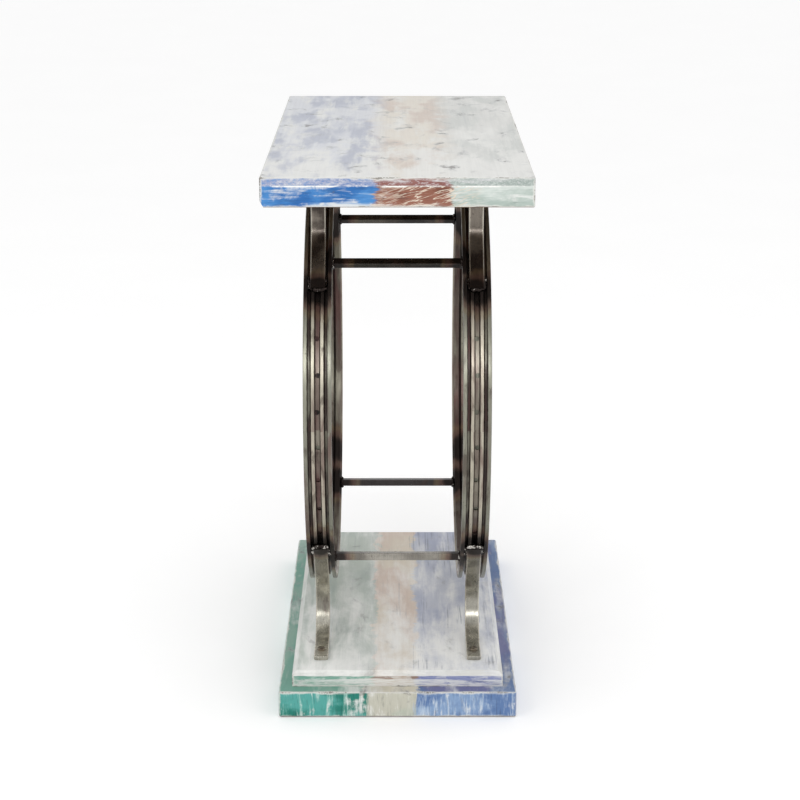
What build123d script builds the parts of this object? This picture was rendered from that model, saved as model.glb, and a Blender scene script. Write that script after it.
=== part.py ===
from build123d import *
import math
import os

# Console table in millimetres. +Z is up, the origin is at the middle of the underside of the base,
# X runs across the table's narrow width and Y along its length, with the viewed end at -Y.

# ---- whole table -------------------------------------------------------------------------------
TABLE_HEIGHT = 762.0

# ---- glued-up boards: length along Y, width along X, thickness along Z -------------------------
TOP_LENGTH = 772.0
TOP_WIDTH = 345.0
TOP_THICKNESS = 38.0
TOP_JOINTS = (-27.0, 66.0)          # X of the two glue lines between the three top boards
TOP_ARRIS = 2.0                     # rounding of every outer corner of the top
WORN_EDGE_WIDTH = 5.0               # bevel worn along the top's lower left edge
WORN_EDGE_HEIGHT = 9.0

BASE_LENGTH = 626.0
BASE_WIDTH = 327.0
BASE_THICKNESS = 37.0
BASE_JOINTS = (-45.0, 26.0)
BASE_ARRIS = 3.0

END_MARGIN = 20.0                   # how far the plinth is set in from the base at each end
SIDE_MARGIN = 18.0                  # and along each side
PLINTH_THICKNESS = 22.0
PLINTH_JOINTS = (-32.0, 26.0)
PLINTH_BEVEL = 6.5                  # 45 degree bevel round the plinth's upper edge
UPRIGHT_ARRIS = 1.5                 # rounding of the plinth's upright corners

# ---- wheel rims --------------------------------------------------------------------------------
RIM_RADIUS = 296.0                  # to the tip of the flanges
RIM_OFFSET = 106.8                  # X from the table's middle to each rim's middle plane
RIM_CENTRE_Z = 403.0
RIM_HALF_WIDTH = 19.0
LIP_WIDTH = 5.4                     # rolled lip at each edge
LIP_DEPTH = 6.0
SIDE_WALL = 16.4                    # half width below the lips
WELL_HALF_WIDTH = 2.9               # flat of the central spoke well
WELL_DEPTH = 13.0
RIDGE_DEPTH = 4.5                   # the two ridges beside the well
RIDGE_INNER = 4.1
RIDGE_OUTER = 8.7
GROOVE_DEPTH = 9.5                  # bead seats between ridge and lip
GROOVE_INNER = 9.8
SHEET = 2.2
RIM_BEND = 0.7                      # radius on the rolled section's bends
SPOKE_HOLES = 36
SPOKE_DIMPLE_RADIUS = 3.4           # wider than the well's flat, so each dimple bites into its walls
SPOKE_DIMPLE_DEPTH = 1.5            # into the sheet, which stays closed below
SPOKE_DIMPLE_STAGGER = 0.6
VALVE_HOLE_RADIUS = 4.2

# ---- bent flat brackets: four feet below the rims and four arms above them ----------------------
STRAP_WIDTH = 20.0
STRAP_THICKNESS = 6.0
STRAP_EDGE = 1.2
STRAP_OVERLAP = 9.0                 # strap past the point where it touches the rim
TAB_LENGTH = 50.0
TAB_CORNER = 4.0
FOOT_WELD_ANGLE = 41.0              # degrees from the horizontal through the rim's centre
FOOT_BEND_RADIUS = 47.0
ARM_WELD_ANGLE = 40.0
ARM_BEND_RADIUS = 51.0

# ---- square crossbars between the rims -----------------------------------------------------------
BAR_SIDE = 10.0
BAR_CORNER = 0.8
BAR_RADIUS = 287.0                  # distance of each bar from the rims' axis
# Each bar's angle about the rims' axis, 0 towards the viewed end and 90 upwards, and its roll.
CROSSBARS = {
    "crossbar_front_top": (47.0, 45.0),
    "crossbar_back_top": (138.0, 45.0),
    "crossbar_back_bottom": (231.0, 0.0),
    "crossbar_front_bottom": (-47.0, 0.0),
}

# ---- screws --------------------------------------------------------------------------------------
SCREW_SHANK_RADIUS = 2.5
SCREW_LENGTH = 24.0
SCREW_HEAD_RADIUS = 6.0
SCREW_HEAD_HEIGHT = 3.6
SCREW_SLOT_WIDTH = 1.4
SCREW_SLOT_DEPTH = 1.4
HOLE_CLEARANCE = 0.25
PLINTH_SCREW_LENGTH = 50.0
PLINTH_SCREW_HEAD_RADIUS = 4.5
PLINTH_SCREW_HEAD_HEIGHT = 4.0
PLINTH_SCREW_SINK = 3.0             # countersunk heads below the underside
PLINTH_SCREW_X = (-95.0, -4.0, 95.0)
PLINTH_SCREW_Y = 190.0

# ---- derived -------------------------------------------------------------------------------------
PLINTH_TOP = BASE_THICKNESS + PLINTH_THICKNESS
TOP_UNDERSIDE = TABLE_HEIGHT - TOP_THICKNESS
PLINTH_LENGTH = BASE_LENGTH - 2 * END_MARGIN
PLINTH_WIDTH = BASE_WIDTH - 2 * SIDE_MARGIN
STRAP_SEAT_RADIUS = RIM_RADIUS - RIDGE_DEPTH
SIDES = {"left": -1, "right": 1}
ENDS = {"front": -1, "back": 1}
TINY = 0.01


def block(x_low, x_high, y_low, y_high, z_low, z_high):
    """A plain box between two corners."""
    size = (x_high - x_low, y_high - y_low, z_high - z_low)
    middle = ((x_low + x_high) / 2, (y_low + y_high) / 2, (z_low + z_high) / 2)
    return Pos(*middle) * Box(*size)


def slab(length, width, z_low, z_high, arris):
    """A board panel with every outer edge eased."""
    panel = block(-width / 2, width / 2, -length / 2, length / 2, z_low, z_high)
    return fillet(panel.edges(), arris)


def bevelled_slab(length, width, z_low, z_high, bevel):
    """A board panel with its upper outer edges bevelled and its upright corners eased."""
    panel = block(-width / 2, width / 2, -length / 2, length / 2, z_low, z_high)
    panel = chamfer(panel.edges().group_by(Axis.Z)[-1], bevel)
    return fillet(panel.edges().filter_by(Axis.Z), UPRIGHT_ARRIS)


def split_boards(panel, width, joints):
    """The panel cut at its glue lines into its left, middle and right boards."""
    bounds = panel.bounding_box()
    lines = (-width / 2 - 1, *joints, width / 2 + 1)
    boards = []
    for x_low, x_high in zip(lines[:-1], lines[1:]):
        keep = block(x_low, x_high, bounds.min.Y - 1, bounds.max.Y + 1, bounds.min.Z - 1, bounds.max.Z + 1)
        boards.append(panel & keep)
    return dict(zip(("left", "middle", "right"), boards))


def worn_edge():
    """The wedge missing from the top's lower left edge."""
    x_edge = -TOP_WIDTH / 2
    corners = [
        (x_edge - 1, TOP_UNDERSIDE - 1),
        (x_edge + WORN_EDGE_WIDTH, TOP_UNDERSIDE - 1),
        (x_edge + WORN_EDGE_WIDTH, TOP_UNDERSIDE),
        (x_edge, TOP_UNDERSIDE + WORN_EDGE_HEIGHT),
        (x_edge - 1, TOP_UNDERSIDE + WORN_EDGE_HEIGHT),
    ]
    face = Plane.XZ * make_face(Polyline(*corners, close=True))
    return extrude(face, TOP_LENGTH / 2 + 1, both=True)


def rim_section():
    """Closed W-shaped section of the rolled rim, as (axial, radial) points about its middle plane."""
    lip_inner = RIM_HALF_WIDTH - LIP_WIDTH
    floor_under = GROOVE_DEPTH + SHEET
    half = [
        (WELL_HALF_WIDTH, WELL_DEPTH),
        (RIDGE_INNER, RIDGE_DEPTH),
        (RIDGE_OUTER, RIDGE_DEPTH),
        (GROOVE_INNER, GROOVE_DEPTH),
        (lip_inner - 0.6, GROOVE_DEPTH),
        (lip_inner, 0.0),
        (RIM_HALF_WIDTH, 0.0),
        (RIM_HALF_WIDTH, LIP_DEPTH),
        (SIDE_WALL, LIP_DEPTH + 2.0),
        (SIDE_WALL, floor_under),
        (GROOVE_INNER - 1.5, floor_under),
        (RIDGE_OUTER - 1.4, RIDGE_DEPTH + SHEET),
        (WELL_HALF_WIDTH + 2.0, WELL_DEPTH + SHEET),
    ]
    mirrored = [(-axial, depth) for axial, depth in reversed(half)]
    outline = Polyline(*[(axial, RIM_RADIUS - depth) for axial, depth in half + mirrored], close=True)
    section = make_face(outline)
    return fillet(section.vertices(), RIM_BEND)


def spoke_dimples():
    """Shallow radial pockets where the spoke nipples sat, and the open valve hole, about the X axis."""
    drills = []
    step = 360.0 / SPOKE_HOLES
    floor_radius = RIM_RADIUS - WELL_DEPTH - SPOKE_DIMPLE_DEPTH
    for index in range(SPOKE_HOLES):
        stagger = SPOKE_DIMPLE_STAGGER if index % 2 else -SPOKE_DIMPLE_STAGGER
        drill = Cylinder(SPOKE_DIMPLE_RADIUS, WELL_DEPTH, align=(Align.CENTER,) * 2 + (Align.MIN,))
        drills.append(Rot(X=(index + 0.5) * step) * Pos(stagger, 0, floor_radius) * drill)
    valve = Pos(0, 0, RIM_RADIUS - WELL_DEPTH) * Cylinder(VALVE_HOLE_RADIUS, 2 * WELL_DEPTH)
    drills.append(valve)
    return drills


def rim(side):
    """One wheel rim, standing on edge with its axis along X."""
    # The sketch's own X is the axial direction and its Y the radial one, which the XZ plane keeps.
    section = Plane.XZ * rim_section()
    ring = revolve(section, Axis.X, 360)
    ring = ring - spoke_dimples()
    return Pos(side * RIM_OFFSET, 0, RIM_CENTRE_Z) * ring


def bracket_points(weld_angle, bend_radius, drop):
    """Points of the strap's outline, as (outwards, towards the board) from the rims' axis.

    The strap touches the rim's ridges at the weld angle, runs on as a tangent, then bends
    outwards into a flat tab that lies on the board, drop away from the axis.
    """
    lean = math.radians(weld_angle)
    outer_bend = bend_radius + STRAP_THICKNESS
    touch = Vector(math.cos(lean), math.sin(lean)) * STRAP_SEAT_RADIUS
    along = Vector(-math.sin(lean), math.cos(lean))
    away = Vector(math.cos(lean), math.sin(lean))
    straight = (drop - outer_bend * (1 + math.sin(lean)) - touch.Y) / math.cos(lean)
    centre = touch + along * straight + away * outer_bend
    return lean, touch, along, away, straight, centre


def on_bend(centre, radius, angle):
    """A point of the bend: the angle is 90 where the strap is flat against the board."""
    return centre + Vector(-math.cos(angle), math.sin(angle)) * radius


def bracket(weld_angle, bend_radius, drop):
    """A bent strap in the plane outwards (X) by towards the board (Y), with its tab's screw hole."""
    lean, touch, along, away, straight, centre = bracket_points(weld_angle, bend_radius, drop)
    outer_bend = bend_radius + STRAP_THICKNESS
    flat = math.pi / 2
    middle = (flat - lean) / 2
    tab_end = centre.X + TAB_LENGTH
    strap_end = touch - along * STRAP_OVERLAP
    inner_start = on_bend(centre, bend_radius, -lean)
    inner_end = on_bend(centre, bend_radius, flat)
    outer_start = on_bend(centre, outer_bend, flat)
    outer_end = on_bend(centre, outer_bend, -lean)
    edges = [
        Line(strap_end + away * STRAP_THICKNESS, inner_start),
        ThreePointArc(inner_start, on_bend(centre, bend_radius, middle), inner_end),
        Line(inner_end, (tab_end, drop - STRAP_THICKNESS)),
        Line((tab_end, drop - STRAP_THICKNESS), (tab_end, drop)),
        Line((tab_end, drop), outer_start),
        ThreePointArc(outer_start, on_bend(centre, outer_bend, middle), outer_end),
        Line(outer_end, strap_end),
        Line(strap_end, strap_end + away * STRAP_THICKNESS),
    ]
    face = make_face(Wire(edges))
    strap = extrude(face, STRAP_WIDTH / 2, both=True)
    strap = fillet(strap.edges().filter_by(Axis.Y).group_by(Axis.X)[-1], TAB_CORNER)
    long_edges = [edge for edge in strap.edges() if abs(abs(edge.center().Z) - STRAP_WIDTH / 2) < TINY]
    strap = fillet(long_edges, STRAP_EDGE)
    hole_middle = Pos(centre.X + TAB_LENGTH / 2, drop, 0)
    strap = strap - hole_middle * Rot(X=90) * Cylinder(SCREW_SHANK_RADIUS + HOLE_CLEARANCE, 4 * STRAP_THICKNESS)
    return strap, centre.X + TAB_LENGTH / 2


def place_bracket(strap, side, end, up):
    """Turn a flat-drawn strap to its rim: outwards becomes -Y or +Y, and the board lies below or above."""
    upright = Plane(origin=(0, 0, 0), x_dir=(0, end, 0), z_dir=(end * up, 0, 0)) * strap
    return Pos(side * RIM_OFFSET, 0, RIM_CENTRE_Z) * upright


def pan_screw():
    """A slotted pan-head screw along Z, with the head's underside at Z = 0 and the shank below it."""
    head = Pos(0, 0, SCREW_HEAD_HEIGHT / 2) * Cylinder(SCREW_HEAD_RADIUS, SCREW_HEAD_HEIGHT)
    head = fillet(head.edges().group_by(Axis.Z)[-1], SCREW_HEAD_HEIGHT * 0.6)
    slot_middle = Pos(0, 0, SCREW_HEAD_HEIGHT)
    head = head - slot_middle * Box(3 * SCREW_HEAD_RADIUS, SCREW_SLOT_WIDTH, 2 * SCREW_SLOT_DEPTH)
    shank = Pos(0, 0, -SCREW_LENGTH / 2) * Cylinder(SCREW_SHANK_RADIUS, SCREW_LENGTH)
    tip = Pos(0, 0, -SCREW_LENGTH) * Rot(X=180) * Cone(SCREW_SHANK_RADIUS, 0.4, 4, align=(Align.CENTER,) * 2 + (Align.MIN,))
    return head + shank + tip


def plinth_screw():
    """A countersunk screw driven upwards from the base's underside into the plinth."""
    start = PLINTH_SCREW_SINK
    head = Pos(0, 0, start) * Cone(
        PLINTH_SCREW_HEAD_RADIUS, SCREW_SHANK_RADIUS, PLINTH_SCREW_HEAD_HEIGHT, align=(Align.CENTER,) * 2 + (Align.MIN,)
    )
    shank = Pos(0, 0, start) * Cylinder(
        SCREW_SHANK_RADIUS, PLINTH_SCREW_LENGTH, align=(Align.CENTER,) * 2 + (Align.MIN,)
    )
    return head + shank


def plinth_screw_hole():
    """The countersunk hole that one plinth screw fills, a little larger all round."""
    align = (Align.CENTER,) * 2 + (Align.MIN,)
    mouth = Pos(0, 0, -1) * Cylinder(PLINTH_SCREW_HEAD_RADIUS + HOLE_CLEARANCE, PLINTH_SCREW_SINK + 1, align=align)
    sink = Pos(0, 0, PLINTH_SCREW_SINK) * Cone(
        PLINTH_SCREW_HEAD_RADIUS + HOLE_CLEARANCE,
        SCREW_SHANK_RADIUS + HOLE_CLEARANCE,
        PLINTH_SCREW_HEAD_HEIGHT,
        align=align,
    )
    bore = Cylinder(
        SCREW_SHANK_RADIUS + HOLE_CLEARANCE, PLINTH_SCREW_SINK + PLINTH_SCREW_LENGTH + 1, align=align
    )
    return mouth + sink + bore


def crossbar(angle, roll):
    """One square bar between the rims' inner faces."""
    reach = RIM_OFFSET - RIM_HALF_WIDTH
    bar = Box(2 * reach, BAR_SIDE, BAR_SIDE)
    bar = fillet(bar.edges().filter_by(Axis.X), BAR_CORNER)
    turn = math.radians(angle)
    place = Pos(0, -BAR_RADIUS * math.cos(turn), RIM_CENTRE_Z + BAR_RADIUS * math.sin(turn))
    return place * Rot(X=roll) * bar


def tab_places(reach):
    """X and Y of the four tab screws."""
    return [(side * RIM_OFFSET, end * reach) for side in SIDES.values() for end in ENDS.values()]


def build():
    """Every node of the table by name."""
    nodes = {}
    foot, foot_reach = bracket(FOOT_WELD_ANGLE, FOOT_BEND_RADIUS, RIM_CENTRE_Z - PLINTH_TOP)
    arm, arm_reach = bracket(ARM_WELD_ANGLE, ARM_BEND_RADIUS, TOP_UNDERSIDE - RIM_CENTRE_Z)

    pilot = Cylinder(SCREW_SHANK_RADIUS + HOLE_CLEARANCE, 2 * (SCREW_LENGTH + 5 - STRAP_THICKNESS))
    plinth_places = [(x, end * PLINTH_SCREW_Y) for x in PLINTH_SCREW_X for end in ENDS.values()]
    plinth_drills = [Pos(x, y, 0) * plinth_screw_hole() for x, y in plinth_places]

    top = slab(TOP_LENGTH, TOP_WIDTH, TOP_UNDERSIDE, TABLE_HEIGHT, TOP_ARRIS) - worn_edge()
    top = top - [Pos(x, y, TOP_UNDERSIDE) * pilot for x, y in tab_places(arm_reach)]
    base = slab(BASE_LENGTH, BASE_WIDTH, 0, BASE_THICKNESS, BASE_ARRIS) - plinth_drills
    plinth = bevelled_slab(PLINTH_LENGTH, PLINTH_WIDTH, BASE_THICKNESS, PLINTH_TOP, PLINTH_BEVEL) - plinth_drills
    plinth = plinth - [Pos(x, y, PLINTH_TOP) * pilot for x, y in tab_places(foot_reach)]
    for name, panel, width, joints in (
        ("top_board", top, TOP_WIDTH, TOP_JOINTS),
        ("base_board", base, BASE_WIDTH, BASE_JOINTS),
        ("plinth_board", plinth, PLINTH_WIDTH, PLINTH_JOINTS),
    ):
        for place, board in split_boards(panel, width, joints).items():
            nodes[f"{name}_{place}"] = board

    for side_name, side in SIDES.items():
        nodes[f"rim_{side_name}"] = rim(side)
        for end_name, end in ENDS.items():
            nodes[f"foot_{end_name}_{side_name}"] = place_bracket(foot, side, end, -1)
            nodes[f"arm_{end_name}_{side_name}"] = place_bracket(arm, side, end, 1)

    for name, (angle, roll) in CROSSBARS.items():
        nodes[name] = crossbar(angle, roll)

    foot_screw = Pos(0, 0, PLINTH_TOP + STRAP_THICKNESS) * pan_screw()
    arm_screw = Pos(0, 0, TOP_UNDERSIDE - STRAP_THICKNESS) * Rot(X=180) * pan_screw()
    nodes["foot_screws"] = Compound(children=[Pos(x, y, 0) * foot_screw for x, y in tab_places(foot_reach)])
    nodes["arm_screws"] = Compound(children=[Pos(x, y, 0) * arm_screw for x, y in tab_places(arm_reach)])
    nodes["plinth_screws"] = Compound(children=[Pos(x, y, 0) * plinth_screw() for x, y in plinth_places])
    return nodes


os.makedirs("parts", exist_ok=True)
for node_name, shape in build().items():
    export_step(shape, f"parts/{node_name}.step")
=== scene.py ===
import math
import random

import bmesh
import bpy
from mathutils import Matrix, Vector


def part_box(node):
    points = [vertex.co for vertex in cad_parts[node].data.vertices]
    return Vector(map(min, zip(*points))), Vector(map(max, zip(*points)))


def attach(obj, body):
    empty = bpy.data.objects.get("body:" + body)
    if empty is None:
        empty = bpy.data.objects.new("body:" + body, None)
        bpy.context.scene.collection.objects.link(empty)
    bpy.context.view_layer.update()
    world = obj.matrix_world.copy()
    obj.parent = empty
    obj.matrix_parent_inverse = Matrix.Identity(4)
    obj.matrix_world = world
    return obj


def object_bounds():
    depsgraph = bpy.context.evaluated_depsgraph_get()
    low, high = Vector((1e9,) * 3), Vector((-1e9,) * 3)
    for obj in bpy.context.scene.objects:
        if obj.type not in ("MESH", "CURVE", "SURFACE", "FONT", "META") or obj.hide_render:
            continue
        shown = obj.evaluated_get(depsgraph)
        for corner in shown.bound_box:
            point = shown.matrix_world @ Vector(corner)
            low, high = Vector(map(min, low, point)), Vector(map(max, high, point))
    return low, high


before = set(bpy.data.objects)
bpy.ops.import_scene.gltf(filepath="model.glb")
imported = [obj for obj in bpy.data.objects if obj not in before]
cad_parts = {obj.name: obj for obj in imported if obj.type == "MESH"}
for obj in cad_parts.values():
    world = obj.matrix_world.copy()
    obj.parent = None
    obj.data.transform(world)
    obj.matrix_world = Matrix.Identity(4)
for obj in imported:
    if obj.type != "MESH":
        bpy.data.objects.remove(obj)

cad_low, cad_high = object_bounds()
scene = bpy.context.scene

MM = 0.001
SIDES = ("left", "right")
BOARDS = ("left", "middle", "right")


# ---- the model's own measures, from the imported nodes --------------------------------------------
def joined_box(*nodes):
    """Lowest and highest corner of several nodes together."""
    boxes = [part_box(node) for node in nodes]
    low = Vector([min(box[0][axis] for box in boxes) for axis in range(3)])
    high = Vector([max(box[1][axis] for box in boxes) for axis in range(3)])
    return low, high


TOP = joined_box(*[f"top_board_{place}" for place in BOARDS])
BASE = joined_box(*[f"base_board_{place}" for place in BOARDS])
PLINTH = joined_box(*[f"plinth_board_{place}" for place in BOARDS])
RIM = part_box("rim_right")
RIM_X = (RIM[0].x + RIM[1].x) / 2
RIM_Z = (RIM[0].z + RIM[1].z) / 2
RIM_RADIUS = (RIM[1].z - RIM[0].z) / 2
RIM_INNER_X = RIM[0].x


def on_side(side, x):
    """The X of something that both sides have, given for the right."""
    return x if side == "right" else -x


# ---- node helpers -------------------------------------------------------------------------------
class Nodes:
    """Small wrapper for building one material's node tree."""

    def __init__(self, name):
        self.material = bpy.data.materials.new(name)
        self.material.use_nodes = True
        self.tree = self.material.node_tree
        self.tree.nodes.clear()
        output = self.tree.nodes.new("ShaderNodeOutputMaterial")
        self.shader = self.tree.nodes.new("ShaderNodeBsdfPrincipled")
        self.join(self.shader.outputs["BSDF"], output.inputs["Surface"])
        coords = self.tree.nodes.new("ShaderNodeTexCoord")
        self.position = coords.outputs["Object"]
        self.normal = coords.outputs["Normal"]

    def join(self, source, socket):
        self.tree.links.new(source, socket)

    def set(self, socket, value):
        """Link an output, or set a plain value."""
        if isinstance(value, bpy.types.NodeSocket):
            self.join(value, socket)
        elif isinstance(value, (tuple, list)) and len(value) == 3 and socket.type == "RGBA":
            socket.default_value = (*value, 1.0)
        else:
            socket.default_value = value

    def drive(self, name, value):
        """Set one of the shader's inputs."""
        self.set(self.shader.inputs[name], value)

    def math(self, operation, a, b=0.0, c=0.0, clamp=False):
        node = self.tree.nodes.new("ShaderNodeMath")
        node.operation = operation
        node.use_clamp = clamp
        for socket, value in zip(node.inputs, (a, b, c)):
            self.set(socket, value)
        return node.outputs[0]

    def plus(self, a, b):
        return self.math("ADD", a, b)

    def minus(self, a, b):
        return self.math("SUBTRACT", a, b)

    def times(self, a, b):
        return self.math("MULTIPLY", a, b)

    def gap(self, a, b):
        """How far apart two values are."""
        return self.math("ABSOLUTE", self.minus(a, b))

    def jitter(self, noise, amount):
        """A noise turned into a small shift to either side of 0."""
        return self.times(self.minus(noise, 0.5), amount)

    def axes(self, vector):
        node = self.tree.nodes.new("ShaderNodeSeparateXYZ")
        self.join(vector, node.inputs[0])
        return node.outputs

    def vector(self, x, y, z):
        node = self.tree.nodes.new("ShaderNodeCombineXYZ")
        for socket, value in zip(node.inputs, (x, y, z)):
            self.set(socket, value)
        return node.outputs[0]

    def mapped(self, vector, scale, shift=(0, 0, 0), turn=(0, 0, 0)):
        node = self.tree.nodes.new("ShaderNodeMapping")
        self.join(vector, node.inputs["Vector"])
        node.inputs["Scale"].default_value = scale
        node.inputs["Location"].default_value = shift
        node.inputs["Rotation"].default_value = turn
        return node.outputs[0]

    def noise(self, vector, scale, detail=4.0, roughness=0.55, distortion=0.0):
        node = self.tree.nodes.new("ShaderNodeTexNoise")
        self.join(vector, node.inputs["Vector"])
        node.inputs["Scale"].default_value = scale
        node.inputs["Detail"].default_value = detail
        node.inputs["Roughness"].default_value = roughness
        node.inputs["Distortion"].default_value = distortion
        return node.outputs[0]

    def marks(self, scale, shift, detail, roughness, distortion=0.0):
        """Noise over the object, with its own scale per metre along each axis."""
        return self.noise(self.mapped(self.position, scale, shift), 1.0, detail, roughness, distortion)

    def ramp(self, value, low, high, start=0.0, end=1.0):
        """A smooth step from start to end as the value goes from low to high."""
        node = self.tree.nodes.new("ShaderNodeMapRange")
        node.interpolation_type = "SMOOTHSTEP"
        self.set(node.inputs["Value"], value)
        node.inputs["From Min"].default_value = low
        node.inputs["From Max"].default_value = high
        node.inputs["To Min"].default_value = start
        node.inputs["To Max"].default_value = end
        return node.outputs[0]

    def mix(self, factor, a, b, blend="MIX"):
        node = self.tree.nodes.new("ShaderNodeMix")
        node.data_type = "RGBA"
        node.blend_type = blend
        self.set(node.inputs[0], factor)
        self.set(node.inputs[6], a)
        self.set(node.inputs[7], b)
        return node.outputs[2]

    def tint(self, mask, strength, colour, over):
        """The colour over another one where the mask is, at the given strength."""
        return self.mix(self.times(mask, strength), over, colour)

    def shade(self, colour, amount):
        """The colour made darker or lighter by one value."""
        return self.mix(1.0, colour, self.vector(amount, amount, amount), "MULTIPLY")

    def shades(self, value, stops):
        """A colour from a list of (position, colour) stops."""
        node = self.tree.nodes.new("ShaderNodeValToRGB")
        self.join(value, node.inputs["Fac"])
        ramp = node.color_ramp
        while len(ramp.elements) < len(stops):
            ramp.elements.new(0.5)
        for element, (position, colour) in zip(ramp.elements, stops):
            element.position = position
            element.color = (*srgb(*colour), 1.0)
        return node.outputs["Color"]

    def either(self, mask, a, b):
        """The single value a where the mask is 0 and b where it is 1."""
        return self.plus(a, self.times(mask, self.minus(b, a)))

    def bump(self, height, distance, strength=1.0):
        node = self.tree.nodes.new("ShaderNodeBump")
        node.inputs["Strength"].default_value = strength
        node.inputs["Distance"].default_value = distance
        self.join(height, node.inputs["Height"])
        self.drive("Normal", node.outputs[0])


def srgb(red, green, blue):
    """A colour given as 0-255 screen values, turned into the linear values that shaders use."""
    def linear(value):
        value /= 255.0
        return value / 12.92 if value <= 0.04045 else ((value + 0.055) / 1.055) ** 2.4
    return (linear(red), linear(green), linear(blue))


# ---- distressed paint on planks -----------------------------------------------------------------
WHITEWASH = srgb(219, 219, 216)
SMEAR_GREY = srgb(158, 160, 162)
DRAGGED_DARK = srgb(40, 48, 58)
PALE_STROKE = srgb(214, 198, 180)
STRIP_GREY = srgb(204, 204, 205)
STRIP_FLECK = srgb(218, 218, 218)
STRIP_LINE = srgb(236, 236, 232)
BEVEL_PALE = srgb(204, 204, 200)
EDGE_PALE = srgb(214, 214, 208)
BARE_WOOD = srgb(92, 82, 72)
SCRATCH_BLUE = srgb(96, 102, 120)
CHIP_BROWN = srgb(112, 106, 100)
RAW_LIGHT = srgb(118, 92, 68)
RAW_DARK = srgb(78, 58, 43)
RAW_GRAIN = srgb(60, 44, 33)

LANE_EDGE = 3 * MM              # how sharply one board's paint meets the next
LANE_WANDER = 50 * MM           # and how widely that edge strays
WASH_FADE = 0.62                # length along the slab over which the upper face's extra paleness at the front end fades out
STROKE_SLANT = 0.32             # radians


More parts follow.
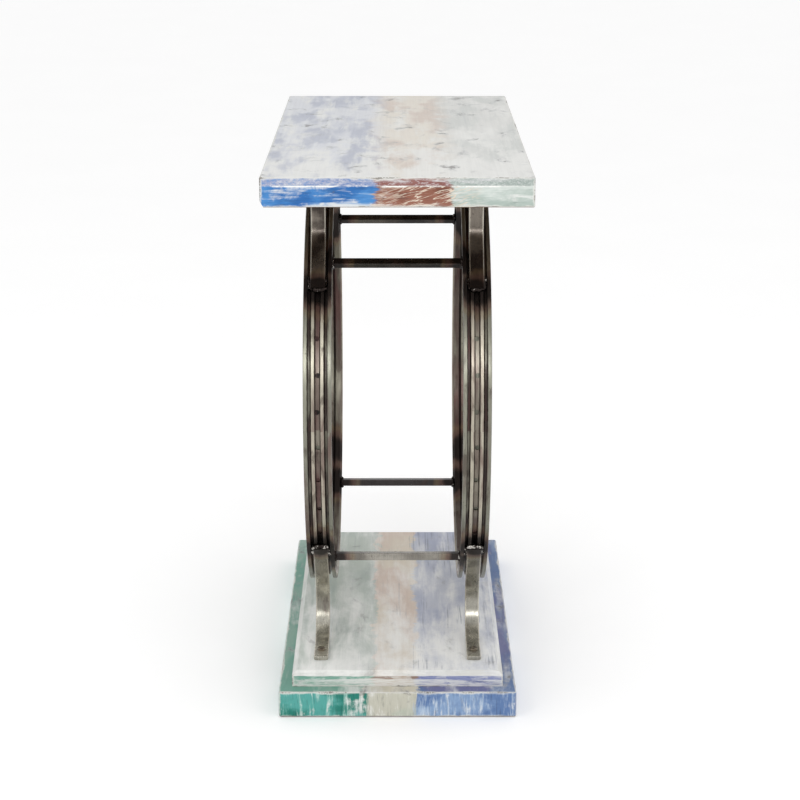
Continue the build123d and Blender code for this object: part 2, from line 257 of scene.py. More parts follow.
class PlankPaint:
    """The brush marks, lanes and wear that the paint of one slab is made from."""

    def __init__(self, name, box, seed, lanes, joints, blend, upright):
        nodes = self.nodes = Nodes(name)
        self.low, self.high = box
        self.lanes = lanes
        self.joints = joints
        self.shift = (seed * 1.37, seed * 0.71, seed * 2.13)
        self.x, self.y, self.z = nodes.axes(nodes.position)

        facing = nodes.axes(nodes.normal)
        self.on_top = nodes.ramp(facing[2], 0.45, 0.65)
        not_flat = nodes.ramp(facing[2], 0.85, 0.95, 1.0, 0.0)
        self.on_bevel = nodes.times(nodes.ramp(facing[2], 0.4, 0.6), not_flat)
        self.on_end = nodes.ramp(nodes.math("ABSOLUTE", facing[1]), 0.55, 0.8)
        self.below = nodes.ramp(facing[2], -0.65, -0.45, 1.0, 0.0)

        # Brush marks and grain: lengthwise on the boards, and across or up and down on their ends.
        streak_end = self.marks((85, 38, 13) if upright else (9, 38, 90), 6.0, 0.7, 0.4)
        fine_end = self.marks((520, 300, 40) if upright else (36, 300, 520), 3.0, 0.6)
        self.streak_long = self.marks((60, 6, 60), 5.0, 0.62, 0.3)
        self.fine_long = self.marks((280, 5, 280), 3.0, 0.6, 0.3)
        self.streak = nodes.either(self.on_end, self.streak_long, streak_end)
        self.fine = nodes.either(self.on_end, self.fine_long, fine_end)
        self.patch = self.marks((10, 7, 20), 5.0, 0.6, 0.3)
        self.smear = self.marks((26, 24, 40), 6.0, 0.66, 0.5)
        self.fleck = self.marks((34, 17, 60), 5.0, 0.64, 0.5)
        self.brushed = nodes.plus(nodes.times(self.smear, 0.5), nodes.times(self.streak, 0.5))

        # The lanes' edges wander, so one board's paint was brushed over its neighbour.
        stray = nodes.either(self.on_end, self.smear, streak_end)
        self.across = nodes.plus(self.x, nodes.jitter(stray, LANE_WANDER))
        self.crisp = self.lane_masks(LANE_EDGE)
        self.blended = self.lane_masks(blend)

    def marks(self, scale, detail, roughness, distortion=0.0):
        return self.nodes.marks(scale, self.shift, detail, roughness, distortion)

    def lane_masks(self, width):
        return [self.nodes.ramp(self.across, joint - width, joint + width) for joint in self.joints]

    def laned(self, colours, masks):
        """Each lane in its own colour."""
        colour = self.nodes.mix(masks[0], srgb(*colours[0]), srgb(*colours[1]))
        return self.nodes.mix(masks[1], colour, srgb(*colours[2]))

    def layered(self, face, masks, where, width, streaky):
        """A face's main paint, its patches and its streaks."""
        nodes = self.nodes
        layers = zip(*[lane[face] for lane in self.lanes])
        main, patches, streaks = [self.laned(colours, masks) for colours in layers]
        colour = nodes.mix(nodes.ramp(where, 0.5 - width, 0.5 + width), main, patches)
        return nodes.tint(nodes.ramp(self.streak, 0.5, 0.64), streaky, streaks, colour)

    def upper_paint(self):
        block = self.marks((15, 5, 20), 3.0, 0.5, 0.5)
        return self.layered("top", self.blended, block, 0.06, 0.5)

    def side_paint(self):
        return self.layered("side", self.crisp, self.patch, 0.08, 0.8)

    def line_paint(self):
        return self.laned([lane["line"] for lane in self.lanes], self.crisp)

    def upper_wash(self, paint, wash, front_extra, width, white):
        """Whitewash on the upper face, paler towards the front end."""
        nodes = self.nodes
        soft = self.marks((26, 7, 30), 5.0, 0.6, 0.3)
        softly = nodes.plus(nodes.times(soft, 0.6), nodes.times(self.brushed, 0.4))
        along = nodes.plus(self.y, nodes.times(self.patch, 0.3))
        front_paler = nodes.ramp(along, self.low.y, self.low.y + WASH_FADE, front_extra, -0.5 * front_extra)
        middle = 0.62 - wash * 0.25
        amount = nodes.ramp(nodes.plus(softly, front_paler), middle - width / 2, middle + width / 2, 0.0, 0.9)
        return nodes.mix(amount, paint, white)

    def side_wash(self, paint, wash):
        """Whitewash rubbed through on the sides, with darker strokes dragged through it."""
        nodes = self.nodes
        start = 0.58 - wash * 0.22
        amount = nodes.ramp(self.brushed, start, start + 0.1, 0.0, 0.85)
        amount = nodes.times(amount, nodes.ramp(self.fine, 0.36, 0.52, 0.35, 1.0))
        colour = nodes.mix(amount, paint, WHITEWASH)
        dragged = nodes.times(nodes.ramp(self.fine, 0.5, 0.4), nodes.ramp(self.streak, 0.5, 0.42))
        return nodes.tint(dragged, 0.5, nodes.mix(0.55, paint, DRAGGED_DARK), colour)

    def smears(self):
        """Where the wash was dragged over knots and dents."""
        nodes = self.nodes
        uneven = nodes.ramp(self.smear, 0.36, 0.56, 0.25, 1.0)
        return nodes.times(nodes.ramp(self.fleck, 0.54, 0.66), uneven)

    def chips(self):
        """Where the paint came off down to the wood."""
        nodes = self.nodes
        return nodes.times(nodes.ramp(self.fleck, 0.62, 0.68), nodes.ramp(self.smear, 0.46, 0.54))

    def slanting_strokes(self, colour):
        """Pale thin strokes, slanting over the middle board's ends."""
        nodes = self.nodes
        turned = nodes.mapped(nodes.position, (1, 1, 1), turn=(0, STROKE_SLANT, 0))
        noise = nodes.noise(nodes.mapped(turned, (26, 30, 230), self.shift), 1.0, 3.0, 0.5, 0.6)
        strokes = nodes.ramp(nodes.gap(noise, 0.5), 0.008, 0.045, 1.0, 0.0)
        left, right = self.joints
        growing = nodes.times(self.crisp[0], nodes.ramp(self.across, left, left + 0.05, 0.3, 1.0))
        fading = nodes.ramp(self.across, right, right + 0.05, 1.0, 0.0)
        strokes = nodes.times(nodes.times(strokes, growing), fading)
        return nodes.tint(strokes, self.on_end, PALE_STROKE, colour)

    def left_over_line(self, colour, drop):
        """A broken line of older paint, this far below the upper edge."""
        nodes = self.nodes
        level = nodes.plus(nodes.gap(self.z, self.high.z - drop), nodes.jitter(self.streak, 12 * MM))
        line = nodes.ramp(level, 1.4 * MM, 3.4 * MM, 0.8, 0.0)
        broken = nodes.times(line, nodes.ramp(self.smear, 0.42, 0.54, 0.15, 1.0))
        return nodes.mix(broken, colour, self.line_paint())

    def strip(self, colour, paint, height):
        """A flecked strip along the upper edge, with a white line under it."""
        nodes = self.nodes
        bottom = self.high.z - height
        level = nodes.plus(self.z, nodes.jitter(self.smear, 4 * MM))
        strip = nodes.mix(nodes.ramp(self.streak, 0.5, 0.64, 0.1, 0.85), self.line_paint(), STRIP_GREY)
        fleck = self.marks((190, 190, 420), 4.0, 0.7)
        strip = nodes.tint(nodes.ramp(fleck, 0.52, 0.6), 0.55, paint, strip)
        strip = nodes.tint(nodes.ramp(fleck, 0.46, 0.4), 0.45, STRIP_FLECK, strip)
        colour = nodes.mix(nodes.ramp(level, bottom - 0.3 * MM, bottom + 0.3 * MM), colour, strip)
        line = nodes.ramp(nodes.gap(level, bottom), 0.4 * MM, 1.5 * MM, 1.0, 0.0)
        line = nodes.times(line, nodes.ramp(self.smear, 0.42, 0.54, 0.1, 1.0))
        return nodes.mix(line, colour, STRIP_LINE)

    def edge_distance(self):
        """How far a point on the slab's surface is from the nearest edge."""
        nodes = self.nodes
        gaps = []
        for axis, place in enumerate((self.x, self.y, self.z)):
            middle = (self.low[axis] + self.high[axis]) / 2
            half = (self.high[axis] - self.low[axis]) / 2
            gaps.append(nodes.minus(half, nodes.gap(place, middle)))
        smaller = nodes.math("MINIMUM", gaps[0], gaps[1])
        larger = nodes.math("MAXIMUM", gaps[0], gaps[1])
        return nodes.math("MAXIMUM", smaller, nodes.math("MINIMUM", larger, gaps[2]))

    def worn_edges(self, colour):
        """A pale bevel, edges rubbed pale in places, and bare dark wood in the deepest wear."""
        nodes = self.nodes
        pale_bevel = nodes.times(self.on_bevel, nodes.ramp(self.streak, 0.42, 0.56, 0.85, 0.25))
        colour = nodes.mix(pale_bevel, colour, BEVEL_PALE)
        edge = nodes.plus(self.edge_distance(), nodes.jitter(self.smear, 12 * MM))
        pale_edges = nodes.ramp(edge, 0.6 * MM, 3.4 * MM, 0.85, 0.0)
        pale_edges = nodes.times(pale_edges, nodes.ramp(self.patch, 0.36, 0.5, 0.35, 1.0))
        colour = nodes.mix(pale_edges, colour, EDGE_PALE)
        deepest = nodes.ramp(edge, -0.6 * MM, 1.4 * MM, 1.0, 0.0)
        bare = nodes.times(deepest, nodes.ramp(self.fine, 0.44, 0.54))
        return nodes.tint(bare, 0.8, BARE_WOOD, colour)

    def scratched(self, colour, strength):
        """Fine dark scratches, strongest on the right board."""
        nodes = self.nodes
        scratch = nodes.times(nodes.ramp(self.fine, 0.55, 0.63), nodes.ramp(self.patch, 0.45, 0.6))
        right = self.joints[1]
        by_lane = nodes.ramp(self.across, right - 0.03, right + 0.01, 0.35 * strength, strength)
        return nodes.tint(scratch, by_lane, SCRATCH_BLUE, colour)

    def raw_wood(self):
        nodes = self.nodes
        raw = nodes.mix(nodes.ramp(self.streak_long, 0.38, 0.62), RAW_LIGHT, RAW_DARK)
        return nodes.tint(nodes.ramp(self.fine_long, 0.5, 0.62), 0.5, RAW_GRAIN, raw)

    def finish(self, colour, smears, chips):
        """Set the shader's colour, roughness and bump."""
        nodes = self.nodes
        nodes.drive("Base Color", colour)
        sheen = nodes.ramp(self.brushed, 0.35, 0.65, 0.42, 0.58)
        rough = nodes.math("ADD", sheen, nodes.times(chips, 0.2), clamp=True)
        nodes.drive("Roughness", nodes.either(self.below, rough, 0.8))
        nodes.drive("Specular IOR Level", 0.35)
        height = nodes.plus(nodes.times(self.smear, 0.8), nodes.times(self.fine, 0.06))
        height = nodes.plus(height, nodes.times(nodes.plus(chips, smears), -0.5))
        height = nodes.plus(height, nodes.times(self.streak, 0.5))
        nodes.bump(height, 0.9 * MM, 0.8)
        return nodes.material


def painted_wood(name, box, seed, lanes, joints, wash, side_wash, front_extra=0.08, blend=LANE_EDGE,
                 wash_width=0.16, flecks=1.0, white=WHITEWASH, upright=False, strip=None,
                 left_over=None, strokes=False, scratches=0.3):
    """Reclaimed planks with layers of old paint, brushed whitewash and rubbed edges.

    lanes: the paints of the boards between the joints, from left to right. Those of the upper face
        and of the sides are each the main one, its patches and its streaks, and line is the older
        paint that a strip or a left-over line shows.
    wash, side_wash: how much whitewash there is. thick: how much paler the upper face is at the front
    end.
    wash_width: how gradually the wash ends. white: its colour on the upper face.
    blend: how softly the lanes meet on the upper face.
    flecks: how strong the smears and chips are. scratches: how strong the scratches are.
    upright: the brush marks on the ends run up and down.
    strip: the height of a paler strip along the upper edge of the sides.
    left_over: how far below the upper edge a line of older paint is left.
    strokes: the middle board's ends have slanting pale strokes.
    """
    paint = PlankPaint(name, box, seed, lanes, joints, blend, upright)
    nodes = paint.nodes
    smears = paint.smears()
    chips = paint.chips()

    upper = paint.upper_wash(paint.upper_paint(), wash, front_extra, wash_width, white)
    upper = nodes.tint(smears, 0.55 * flecks, SMEAR_GREY, upper)

    side_paint = paint.side_paint()
    side = paint.side_wash(side_paint, side_wash)
    if strokes:
        side = paint.slanting_strokes(side)
    if left_over:
        side = paint.left_over_line(side, left_over)
    if strip:
        side = paint.strip(side, side_paint, strip)

    colour = nodes.mix(paint.on_top, side, upper)
    colour = paint.worn_edges(colour)
    colour = paint.scratched(colour, scratches)
    colour = nodes.tint(chips, 0.5 * flecks, CHIP_BROWN, colour)
    colour = nodes.shade(colour, nodes.ramp(paint.fine, 0.3, 0.7, 0.965, 1.02))
    colour = nodes.mix(paint.below, colour, paint.raw_wood())
    return paint.finish(colour, smears, chips)


# ---- bare steel with heat tint ------------------------------------------------------------------
TINT_STRAW = srgb(132, 112, 84)
TINT_MAROON = srgb(86, 58, 60)
BURNT_BLACK = srgb(30, 26, 25)
SCALE_BROWN = srgb(66, 52, 46)
PIT_BROWN = srgb(44, 36, 32)
RIM_MAROON = srgb(92, 62, 60)
RIM_OLIVE = srgb(168, 168, 150)
BAR_BROWN = srgb(74, 58, 50)
BAR_PIT = srgb(46, 37, 32)
# painted highlight for the straps' long edges
BAR_EDGE_HIGHLIGHT = srgb(200, 194, 180)
WELD_BRIGHT = srgb(168, 164, 158)
WELD_DARK = srgb(40, 34, 32)
SCREW_LIGHT = srgb(134, 126, 112)
SCREW_DARK = srgb(66, 54, 44)

RIM_REACH = 62 * MM             # how far a weld's heat tint reaches on a rim
BAR_REACH = 42 * MM             # and on a bar
SECTION_DEPTH = 16 * MM         # depth of the rim's rolled section that its painted shading covers
RIM_DEPTH_SHADING = (                  # by depth from the lips' tips inwards: ridges, grooves, well, dimples, inner face; pale ridges are painted highlight, dark grooves and near-black dimples painted shade
    (0.00, (128, 127, 115)),
    (0.12, (92, 92, 82)),
    (0.22, (166, 160, 145)),
    (0.32, (184, 177, 161)),
    (0.42, (144, 135, 122)),
    (0.53, (80, 69, 63)),
    (0.60, (56, 47, 44)),
    (0.70, (84, 75, 69)),
    (0.80, (114, 101, 93)),
    (0.85, (104, 92, 85)),
    (0.88, (26, 21, 20)),
    (0.93, (26, 21, 20)),
    (0.96, (124, 118, 106)),
)


def around_rim(nodes):
    """A point's angle about the rims' axis, 0 towards the back and pi/2 upwards, and its radius."""
    _, y, z = nodes.axes(nodes.position)
    rise = nodes.minus(z, RIM_Z)
    squared = nodes.plus(nodes.times(rise, rise), nodes.times(y, y))
    return nodes.math("ARCTAN2", rise, y), nodes.math("SQRT", squared)


def near_welds(nodes, points, reach):
    """1 at any of the weld points, falling to 0 at reach."""
    total = None
    for point in points:
        node = nodes.tree.nodes.new("ShaderNodeVectorMath")
        node.operation = "DISTANCE"
        nodes.join(nodes.position, node.inputs[0])
        node.inputs[1].default_value = point
        near = nodes.ramp(node.outputs["Value"], 0.0, reach, 1.0, 0.0)
        total = near if total is None else nodes.math("MAXIMUM", total, near)
    return total


def heated(nodes, colour, heat, blotch):
    """The colour with the rings of tint and the burnt black that a weld leaves around it."""
    wavy = nodes.plus(heat, nodes.jitter(blotch, 0.6))
    colour = nodes.tint(nodes.ramp(wavy, 0.15, 0.35), 0.4, TINT_STRAW, colour)
    colour = nodes.tint(nodes.ramp(wavy, 0.35, 0.55), 0.55, TINT_MAROON, colour)
    return nodes.tint(nodes.ramp(wavy, 0.55, 0.8), 0.93, BURNT_BLACK, colour)


def finish_steel(nodes, colour, lines, blotch, smooth, rough, heat):
    """Brushed lines, and a roughness between smooth and rough that heat raises."""
    nodes.drive("Base Color", nodes.shade(colour, nodes.ramp(lines, 0.3, 0.7, 0.82, 1.1)))
    nodes.drive("Metallic", 0.85)
    nodes.drive("Coat Weight", 0.15)
    nodes.drive("Coat Roughness", 0.12)
    patchy = nodes.ramp(blotch, 0.35, 0.7, smooth, rough)
    nodes.drive("Roughness", nodes.plus(patchy, nodes.times(heat, 0.15)))
    nodes.bump(nodes.plus(nodes.times(lines, 0.2), nodes.times(blotch, 0.4)), 0.5 * MM, 0.4)
    return nodes.material


def rim_steel(name, welds, seed):
    """Rolled steel: ridges painted pale as painted highlight, grooves and dimples painted dark as painted
    shade, and tints that drift round the hoop.
    """
    nodes = Nodes(name)
    x = nodes.axes(nodes.position)[0]
    angle, radius = around_rim(nodes)
    turned = nodes.math("MULTIPLY_ADD", angle, 3.0, seed)
    lengthwise = nodes.vector(nodes.times(x, 55.0), turned, nodes.times(radius, 90.0))
    drift = nodes.noise(lengthwise, 1.0, 4.0, 0.55, 0.3)
    brushed = nodes.vector(nodes.times(x, 900.0), nodes.times(angle, 9.0), nodes.times(radius, 700.0))
    lines = nodes.noise(brushed, 1.0, 3.0, 0.6)
    blotch = nodes.marks((60, 22, 22), (seed, 0, 0), 5.0, 0.62, 0.5)
    speck = nodes.noise(nodes.position, 230.0, 3.0, 0.6)

    depth = nodes.minus(RIM_RADIUS, radius)
    # painted shade and painted highlight, by depth into the rim's section
    colour = nodes.shades(nodes.math("DIVIDE", depth, SECTION_DEPTH, clamp=True), RIM_DEPTH_SHADING)
    colour = nodes.tint(nodes.ramp(drift, 0.5, 0.66), 0.65, RIM_MAROON, colour)
    colour = nodes.tint(nodes.ramp(drift, 0.5, 0.36), 0.35, RIM_OLIVE, colour)
    colour = nodes.tint(nodes.ramp(blotch, 0.55, 0.68), 0.6, SCALE_BROWN, colour)
    colour = nodes.tint(nodes.ramp(speck, 0.62, 0.72), 0.4, PIT_BROWN, colour)
    heat = near_welds(nodes, welds, RIM_REACH)
    colour = heated(nodes, colour, heat, blotch)
    return finish_steel(nodes, colour, lines, blotch, 0.3, 0.44, heat)


def bar_steel(name, welds, light, dark, seed, highlit_edges=None):
    """Hot-rolled flat or square bar, from light to dark in cloudy bands.

    highlit_edges: the X of the bar's middle line, and its half width, where its long edges get a painted
    highlight.
    """
    nodes = Nodes(name)
    shift = (seed, seed * 0.7, seed * 1.9)
    blotch = nodes.marks((26, 20, 20), shift, 5.0, 0.58, 0.5)
    bands = nodes.marks((12, 16, 16), shift, 4.0, 0.55, 0.4)
    lines = nodes.marks((900, 60, 60), shift, 3.0, 0.6)
    speck = nodes.noise(nodes.position, 260.0, 3.0, 0.6)

    colour = nodes.mix(nodes.ramp(bands, 0.4, 0.6), srgb(*light), srgb(*dark))
    # a painted highlight along the long edges, strongest where the bands are light
    if highlit_edges:
        middle, half = highlit_edges
        off = nodes.gap(nodes.axes(nodes.position)[0], middle)
        pale_edges = nodes.ramp(off, half - 2.2 * MM, half - 1.2 * MM)
        colour = nodes.tint(pale_edges, nodes.ramp(bands, 0.3, 0.5, 0.9, 0.5), BAR_EDGE_HIGHLIGHT, colour)
    colour = nodes.tint(nodes.ramp(blotch, 0.56, 0.68), 0.55, BAR_BROWN, colour)
    colour = nodes.tint(nodes.ramp(speck, 0.6, 0.7), 0.5, BAR_PIT, colour)
    heat = near_welds(nodes, welds, BAR_REACH)
    colour = heated(nodes, colour, heat, blotch)
    return finish_steel(nodes, colour, lines, blotch, 0.22, 0.32, heat)


def weld_metal(name, silvery):
    """Lumpy weld: silvery where its noise is below the given level, and dark oxide above it."""
    nodes = Nodes(name)
    ripple = nodes.noise(nodes.position, 300.0, 4.0, 0.6, 0.5)
    blotch = nodes.noise(nodes.position, 150.0, 4.0, 0.6)
    oxide = nodes.ramp(blotch, silvery, silvery + 0.06)
    nodes.drive("Base Color", nodes.mix(oxide, WELD_BRIGHT, WELD_DARK))
    nodes.drive("Metallic", 0.95)
    nodes.drive("Roughness", nodes.ramp(ripple, 0.35, 0.7, 0.12, 0.34))
    nodes.bump(ripple, 0.8 * MM, 0.7)
    return nodes.material


def screw_steel(name):
    nodes = Nodes(name)
    blotch = nodes.noise(nodes.position, 260.0, 4.0, 0.6)
    speck = nodes.noise(nodes.position, 900.0, 2.0, 0.5)
    nodes.drive("Base Color", nodes.mix(nodes.ramp(blotch, 0.4, 0.62), SCREW_LIGHT, SCREW_DARK))
    nodes.drive("Metallic", 0.9)
    nodes.drive("Roughness", nodes.ramp(speck, 0.35, 0.7, 0.28, 0.45))
    nodes.bump(speck, 0.2 * MM, 0.4)
    return nodes.material


# ---- weld places --------------------------------------------------------------------------------
BRACKETS = [(kind, end, side) for kind in ("foot", "arm") for end in ("front", "back") for side in SIDES]
CROSSBARS = ("crossbar_front_top", "crossbar_back_top", "crossbar_back_bottom", "crossbar_front_bottom")
SEAT_RADIUS = RIM_RADIUS - 4.5 * MM     # the ridges that the straps are welded on
OVERLAP = 9 * MM                        # how far a strap's end runs past its tangent point
LEAN = {"foot": math.radians(41.0), "arm": math.radians(40.0)}


def strap_end(kind, end, side):
    """The middle of a strap's welded end, and the directions along it and away from the rim."""
    lean = LEAN[kind]
    outwards = -1.0 if end == "front" else 1.0
    upwards = -1.0 if kind == "foot" else 1.0
    away = Vector((0, outwards * math.cos(lean), upwards * math.sin(lean)))
    along = Vector((0, -outwards * math.sin(lean), upwards * math.cos(lean)))
    middle = Vector((on_side(side, RIM_X), 0, RIM_Z)) + away * SEAT_RADIUS - along * OVERLAP
    return middle, along, away


def bar_end(name, side):
    """The middle of one end of a crossbar."""
    low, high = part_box(name)
    middle = (low + high) / 2
    return Vector((on_side(side, RIM_INNER_X), middle.y, middle.z))


def weld_points(side):
    points = [strap_end(kind, end, place)[0] for kind, end, place in BRACKETS if place == side]
    return points + [bar_end(name, side) for name in CROSSBARS]


# ---- materials on the nodes ---------------------------------------------------------------------
def dress(node, material):
    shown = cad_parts[node]
    shown.data.materials.clear()
    shown.data.materials.append(material)


PLANKS = {
    "top_board": dict(
        box=TOP, seed=1, wash=0.42, side_wash=0.45, front_extra=0.1, blend=20 * MM, strip=11.2 * MM,
        strokes=True, scratches=0.12,
        lanes=(
            dict(top=((203, 205, 210), (174, 178, 190), (214, 216, 218)),
                 side=((30, 98, 166), (66, 130, 192), (136, 170, 206)), line=(134, 146, 182)),
            dict(top=((212, 206, 196), (200, 188, 178), (218, 215, 206)),
                 side=((108, 58, 38), (142, 92, 74), (196, 172, 156)), line=(126, 64, 58)),
            dict(top=((208, 208, 205), (196, 198, 195), (218, 218, 215)),
                 side=((202, 209, 204), (164, 178, 170), (216, 219, 215)), line=(140, 153, 147)),
        )),
    "base_board": dict(
        box=BASE, seed=4, wash=0.12, side_wash=0.3, front_extra=0.04, upright=True, scratches=0.5,
        lanes=(
            dict(top=((104, 154, 138), (132, 166, 152), (166, 186, 176)),
                 side=((22, 118, 104), (78, 158, 150), (150, 194, 184))),
            dict(top=((204, 199, 182), (194, 189, 173), (212, 209, 199)),
                 side=((186, 184, 170), (178, 184, 170), (200, 199, 188))),
            dict(top=((84, 112, 156), (106, 110, 152), (146, 162, 188)),
                 side=((88, 117, 162), (128, 155, 190), (188, 202, 216))),
        )),
    "plinth_board": dict(
        box=PLINTH, seed=7, wash=0.36, side_wash=0.85, front_extra=0.13, wash_width=0.3, flecks=0.4,
        # the plinth's whitewash is paler than the other slabs' to make up for the shade that the top
        # casts on it: painted light
        white=srgb(242, 242, 239), left_over=9.5 * MM, scratches=0.5,
        lanes=(
            dict(top=((184, 193, 184), (172, 183, 175), (210, 213, 208)),
                 side=((92, 154, 136), (150, 184, 168), (202, 208, 200)), line=(84, 150, 130)),
            dict(top=((214, 203, 186), (208, 190, 176), (222, 214, 204)),
                 side=((150, 120, 102), (190, 174, 158), (210, 202, 190)), line=(128, 98, 82)),
            dict(top=((186, 190, 202), (164, 170, 190), (210, 212, 217)),
                 side=((112, 122, 172), (150, 156, 186), (200, 203, 211)), line=(104, 116, 168)),
        )),
}
STRAP_LIT_AND_SHADED = {                 # light and dark; the arms painted dark as painted shade under the top, the feet pale as painted light, the left foot palest
    ("foot", "left"): ((202, 199, 186), (134, 131, 121)),
    ("foot", "right"): ((156, 153, 143), (98, 95, 88)),
    ("arm", "left"): ((128, 120, 110), (58, 50, 45)),
    ("arm", "right"): ((118, 110, 101), (56, 48, 43)),
}
# light and dark of each crossbar: the top ones painted dark as painted shade under the top, the bottom
# ones pale as painted light
BAR_LIT_AND_SHADED = {
    "crossbar_front_top": ((58, 54, 48), (24, 22, 19)),
    "crossbar_back_top": ((84, 78, 71), (42, 38, 34)),
    "crossbar_back_bottom": ((120, 117, 115), (64, 60, 60)),
    "crossbar_front_bottom": ((158, 154, 145), (112, 108, 101)),
}
STRAP_HALF = 10 * MM
RIM_SEEDS = {"left": 3.0, "right": 8.0}
FIRST_STRAP_SEED = 2.0
FIRST_BAR_SEED = 20.0

for board, looks in PLANKS.items():
    middle_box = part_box(f"{board}_middle")
    for place in BOARDS:
        wood = painted_wood(f"wood_{board}_{place}", joints=(middle_box[0].x, middle_box[1].x), **looks)
        dress(f"{board}_{place}", wood)

for side in SIDES:
    dress(f"rim_{side}", rim_steel(f"steel_rim_{side}", weld_points(side), RIM_SEEDS[side]))

for number, (kind, end, side) in enumerate(BRACKETS):
    node = f"{kind}_{end}_{side}"
    light, dark = STRAP_LIT_AND_SHADED[kind, side]
    edges = (on_side(side, RIM_X), STRAP_HALF)
    weld = strap_end(kind, end, side)[0]
    dress(node, bar_steel(f"steel_{node}", [weld], light, dark, FIRST_STRAP_SEED + number, edges))

for number, name in enumerate(CROSSBARS):
    welds = [bar_end(name, side) for side in SIDES]
    dress(name, bar_steel(f"steel_{name}", welds, *BAR_LIT_AND_SHADED[name], FIRST_BAR_SEED + number))

plain_screw = screw_steel("steel_screws")
for name in ("foot_screws", "arm_screws", "plinth_screws"):
    dress(name, plain_screw)


# ---- weld beads ---------------------------------------------------------------------------------
STRAP_BEAD = 3.4 * MM
BAR_BEAD = 2.2 * MM
FIRST_STRAP_BEAD_SEED = 40
FIRST_BAR_BEAD_SEED = 80


def point_along(path, distance):
    """The point at a distance along a path."""
    for start, stop in zip(path[:-1], path[1:]):
        length = (stop - start).length
        if distance <= length + 1e-9:
            return start.lerp(stop, distance / length)
        distance -= length
    return path[-1]


def bead(name, path, radius, seed, material):
    """A line of overlapping melted drops along a path, as one mesh."""
    rng = random.Random(seed)
    mesh = bmesh.new()
    total = sum((b - a).length for a, b in zip(path[:-1], path[1:]))
    drops = max(3, round(total / (radius * 0.8)))
    for index in range(drops):
        jitter = Vector([rng.uniform(-0.25, 0.25) * radius for _ in range(3)])
        size = radius * rng.uniform(0.85, 1.25)
        place = Matrix.Translation(point_along(path, total * index / (drops - 1)) + jitter)
        matrix = place @ Matrix.Diagonal((size, size * 0.8, size, 1.0))
        bmesh.ops.create_icosphere(mesh, subdivisions=2, radius=1.0, matrix=matrix)
    data = bpy.data.meshes.new(name)
    mesh.to_mesh(data)
    mesh.free()
    piece = bpy.data.objects.new(name, data)
    scene.collection.objects.link(piece)
    remesh = piece.modifiers.new("melt", "REMESH")
    remesh.mode = "VOXEL"
    remesh.voxel_size = radius / 4
    remesh.use_smooth_shade = True
    smooth = piece.modifiers.new("settle", "SMOOTH")
    smooth.factor = 0.5
    smooth.iterations = 3
    piece.data.materials.append(material)
    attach(piece, "root")


def strap_weld_path(kind, end, side):
    """Along one edge of a strap to its welded end, across that and back along the other edge."""
    middle, along, away = strap_end(kind, end, side)
    middle = middle + away * 1.5 * MM
    across = Vector((1, 0, 0))
    steps = (
        (-STRAP_HALF - 1 * MM, 16 * MM),
        (-STRAP_HALF - 0.5 * MM, 2 * MM),
        (-5 * MM, -1 * MM),
        (5 * MM, -1 * MM),
        (STRAP_HALF + 0.5 * MM, 2 * MM),
        (STRAP_HALF + 1 * MM, 16 * MM),
    )
    return [middle + across * sideways + along * lengthwise for sideways, lengthwise in steps]


def bar_weld_path(name, side):
    """Round three sides of a crossbar's end, open towards the rims' axis."""
    middle = bar_end(name, side) + Vector((on_side(side, -0.5 * MM), 0, 0))
    outwards = Vector((0, middle.y, middle.z - RIM_Z)).normalized()
    around = Vector((0, -outwards.z, outwards.y))
    steps = (
        (-6 * MM, -3 * MM),
        (-6 * MM, 3 * MM),
        (0.0, 6.5 * MM),
        (6 * MM, 3 * MM),
        (6 * MM, -3 * MM),
    )
    return [middle + around * sideways + outwards * out for sideways, out in steps]


# the feet's welds get more pale metal as painted glints, the arms' welds less as painted shade, and the
# crossbars' welds share the arms'; the dark is oxide
bright_weld = weld_metal("steel_weld_bright", 0.45)
burnt_and_shaded_weld = weld_metal("steel_weld_burnt_and_shaded", 0.35)

for number, (kind, end, side) in enumerate(BRACKETS):
    path = strap_weld_path(kind, end, side)
    metal = bright_weld if kind == "foot" else burnt_and_shaded_weld
    bead(f"weld_{kind}_{end}_{side}", path, STRAP_BEAD, FIRST_STRAP_BEAD_SEED + number, metal)

bar_ends = [(name, side) for name in CROSSBARS for side in SIDES]
for number, (name, side) in enumerate(bar_ends):
    path = bar_weld_path(name, side)
    bead(f"weld_{name}_{side}", path, BAR_BEAD, FIRST_BAR_BEAD_SEED + number, burnt_and_shaded_weld)


# ---- stage --------------------------------------------------------------------------------------
FLOOR_SIZE = 20.0
FLOOR_GAP = 0.5 * MM
FLOOR_GREY = 0.92
LIT_PLACE = (0.0, 0.0, 0.4)
WHITE = (1.0, 1.0, 1.0, 1.0)


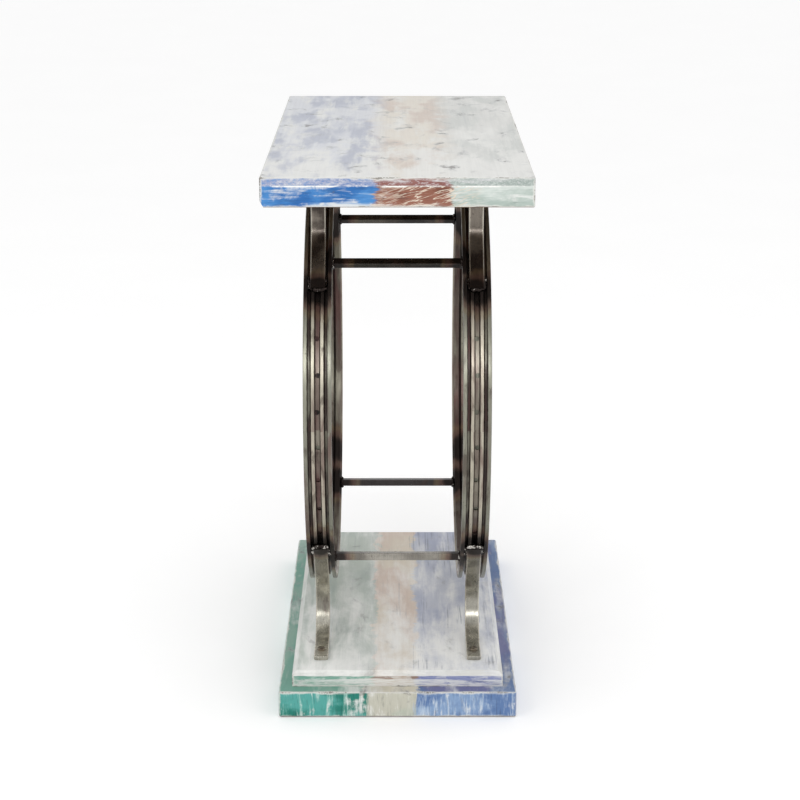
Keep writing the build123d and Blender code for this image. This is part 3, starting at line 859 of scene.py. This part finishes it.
def floor_material():
    nodes = Nodes("floor_pale")
    mottle = nodes.noise(nodes.position, 3.0, 2.0)
    light = (FLOOR_GREY,) * 3
    dark = (FLOOR_GREY * 0.99,) * 3
    nodes.drive("Base Color", nodes.mix(nodes.ramp(mottle, 0.3, 0.7), light, dark))
    nodes.drive("Roughness", 0.9)
    nodes.drive("Specular IOR Level", 0.1)
    nodes.drive("Emission Color", WHITE)
    nodes.drive("Emission Strength", 0.14)
    return nodes.material


def add_floor():
    mesh = bmesh.new()
    bmesh.ops.create_grid(mesh, x_segments=1, y_segments=1, size=FLOOR_SIZE)
    data = bpy.data.meshes.new("floor")
    mesh.to_mesh(data)
    mesh.free()
    floor = bpy.data.objects.new("floor", data)
    floor.location.z = cad_low.z - FLOOR_GAP
    floor.data.materials.append(floor_material())
    scene.collection.objects.link(floor)


def add_world():
    world = bpy.data.worlds.new("pale_room")
    scene.world = world
    world.use_nodes = True
    background = world.node_tree.nodes["Background"]
    background.inputs["Color"].default_value = WHITE
    background.inputs["Strength"].default_value = 0.9


def area_light(name, place, target, size, power):
    light = bpy.data.lights.new(name, "AREA")
    light.shape = "RECTANGLE"
    light.size, light.size_y = size
    light.energy = power
    lamp = bpy.data.objects.new(name, light)
    lamp.location = place
    lamp.rotation_euler = (Vector(target) - Vector(place)).to_track_quat("-Z", "Y").to_euler()
    scene.collection.objects.link(lamp)


def add_camera():
    data = bpy.data.cameras.new("camera")
    data.sensor_width = 36.0
    data.lens = 94.5
    data.clip_end = 100.0
    camera = bpy.data.objects.new("camera", data)
    camera.location = (0.0, -2.9777, 1.2049)
    camera.rotation_euler = (math.pi / 2 - 0.2748, 0.0, -0.0013)
    scene.collection.objects.link(camera)
    scene.camera = camera


add_floor()
add_world()
area_light("softbox_front", (0.1, -3.3, 1.75), LIT_PLACE, (0.8, 0.7), 14)
area_light("softbox_overhead", (0.0, -0.6, 2.9), (0.0, -0.2, 0.3), (1.3, 0.6), 6)
area_light("strip_left", (-1.7, -2.2, 1.5), LIT_PLACE, (0.25, 1.6), 5)
area_light("strip_right", (1.9, -1.9, 1.3), LIT_PLACE, (0.25, 1.6), 4)
add_camera()
scene.view_settings.view_transform = "Standard"
scene.view_settings.look = "None"
